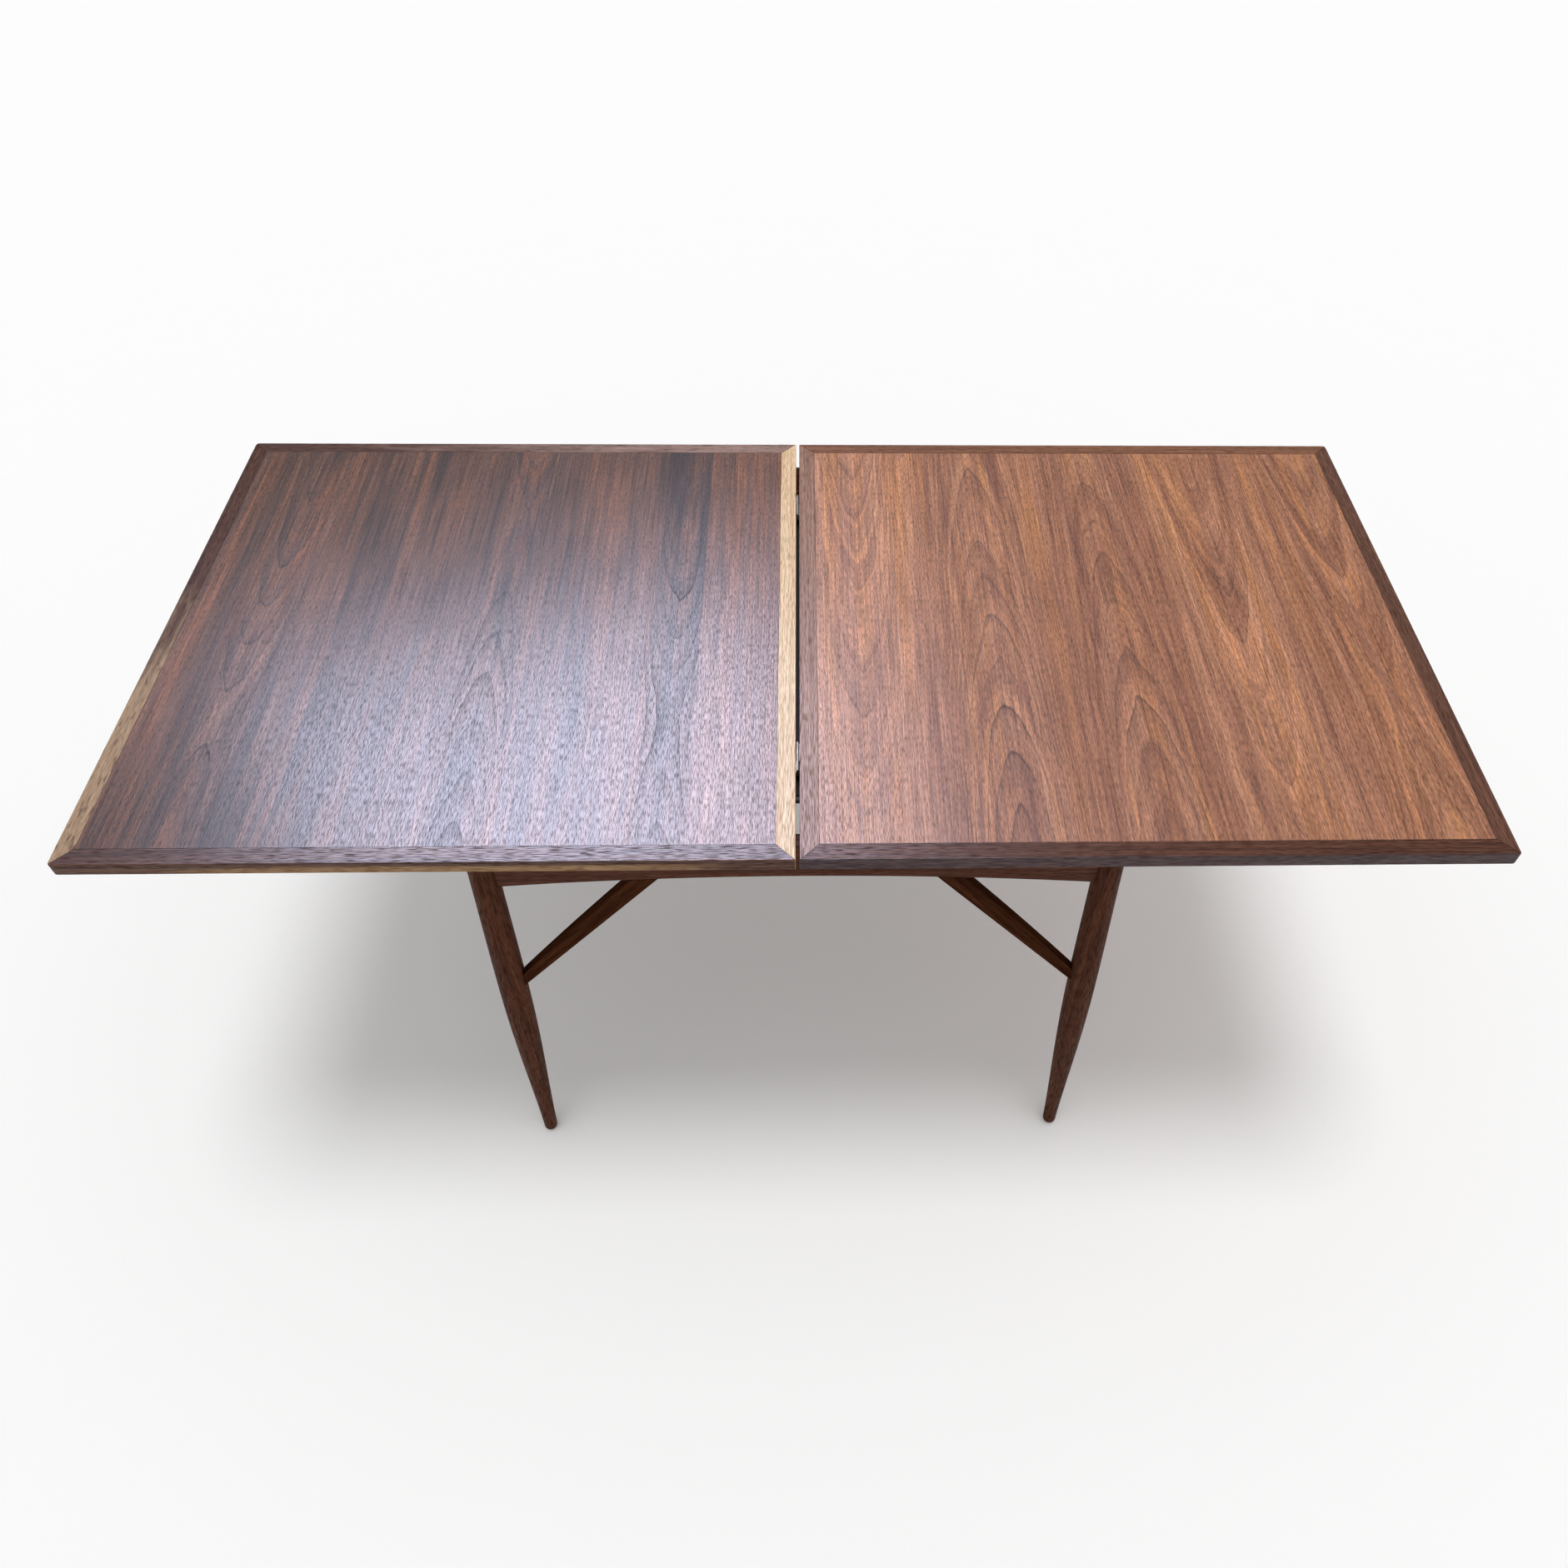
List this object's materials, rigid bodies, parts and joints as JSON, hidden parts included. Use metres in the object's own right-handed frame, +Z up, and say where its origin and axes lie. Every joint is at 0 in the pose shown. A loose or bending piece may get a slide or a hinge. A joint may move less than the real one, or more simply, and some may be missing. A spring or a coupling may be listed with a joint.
{
  "type": "flip-top table",
  "caption": "Walnut dining table on tapered splayed legs with knee braces; its top slides along the base and one leaf folds over onto the other on two hinges.",
  "frame": {"origin": "on the floor under the middle of the seam between the open leaves, and of the base", "axes": "+X along the open top towards the sliding leaf, +Y towards the back, +Z up"},
  "size_m": [1.707, 0.83, 0.7387],
  "materials": {
    "walnut_leg": "satin lacquered solid walnut",
    "walnut_rail": "satin lacquered solid walnut",
    "walnut_brace": "satin lacquered solid walnut",
    "walnut_lipping": "satin lacquered solid walnut",
    "sapwood_lipping": "satin lacquered walnut sapwood",
    "walnut_veneer_sliding": "satin lacquered walnut veneer",
    "walnut_veneer_flip": "satin lacquered walnut veneer",
    "beech": "plain planed hardwood",
    "stained_board": "dark stained plywood",
    "steel": "dull steel",
    "hinge_metal": "satin nickel plate"
  },
  "bodies": {
    "base": {"leg_front_left": "walnut_leg", "leg_front_right": "walnut_leg", "leg_back_left": "walnut_leg", "leg_back_right": "walnut_leg", "glide_front_left": "steel", "glide_front_right": "steel", "glide_back_left": "steel", "glide_back_right": "steel", "apron_front": "walnut_rail", "apron_back": "walnut_rail", "end_rail_left": "walnut_rail", "end_rail_right": "walnut_rail", "brace_front_left": "walnut_brace", "brace_front_right": "walnut_brace", "brace_back_left": "walnut_brace", "brace_back_right": "walnut_brace", "corner_block_front_left": "beech", "corner_block_front_right": "beech", "corner_block_back_left": "beech", "corner_block_back_right": "beech", "cross_rail_left": "beech", "cross_rail_right": "beech", "sub_top_board": "stained_board", "slide_bar_front": "steel", "slide_bar_back": "steel"},
    "sliding_leaf": {"sliding_leaf_panel": "walnut_veneer_sliding", "sliding_leaf_lipping_front": "walnut_lipping", "sliding_leaf_lipping_back": "walnut_lipping", "sliding_leaf_lipping_outer": "walnut_lipping", "sliding_leaf_lipping_seam": "walnut_lipping", "runner_front": "beech", "runner_back": "beech", "hinge_plate_sliding_front": "hinge_metal", "hinge_plate_sliding_back": "hinge_metal", "hinge_pin_front": "steel", "hinge_pin_back": "steel"},
    "flip_leaf": {"flip_leaf_panel": "walnut_veneer_flip", "flip_leaf_lipping_front": "walnut_lipping", "flip_leaf_lipping_back": "walnut_lipping", "flip_leaf_lipping_outer": "walnut_lipping", "flip_leaf_lipping_seam": "sapwood_lipping", "hinge_plate_flip_front": "hinge_metal", "hinge_plate_flip_back": "hinge_metal"}
  },
  "joints": [
    {"name": "top_slide", "type": "slide", "parent": "base", "child": "sliding_leaf", "axis": [-1, 0, 0], "range_m": [0, 0.428]},
    {"name": "flip_hinge", "type": "hinge", "parent": "sliding_leaf", "child": "flip_leaf", "pos_m": [0, 0, 0.73715], "axis": [0, 1, 0], "range_deg": [0, 180]}
  ]
}
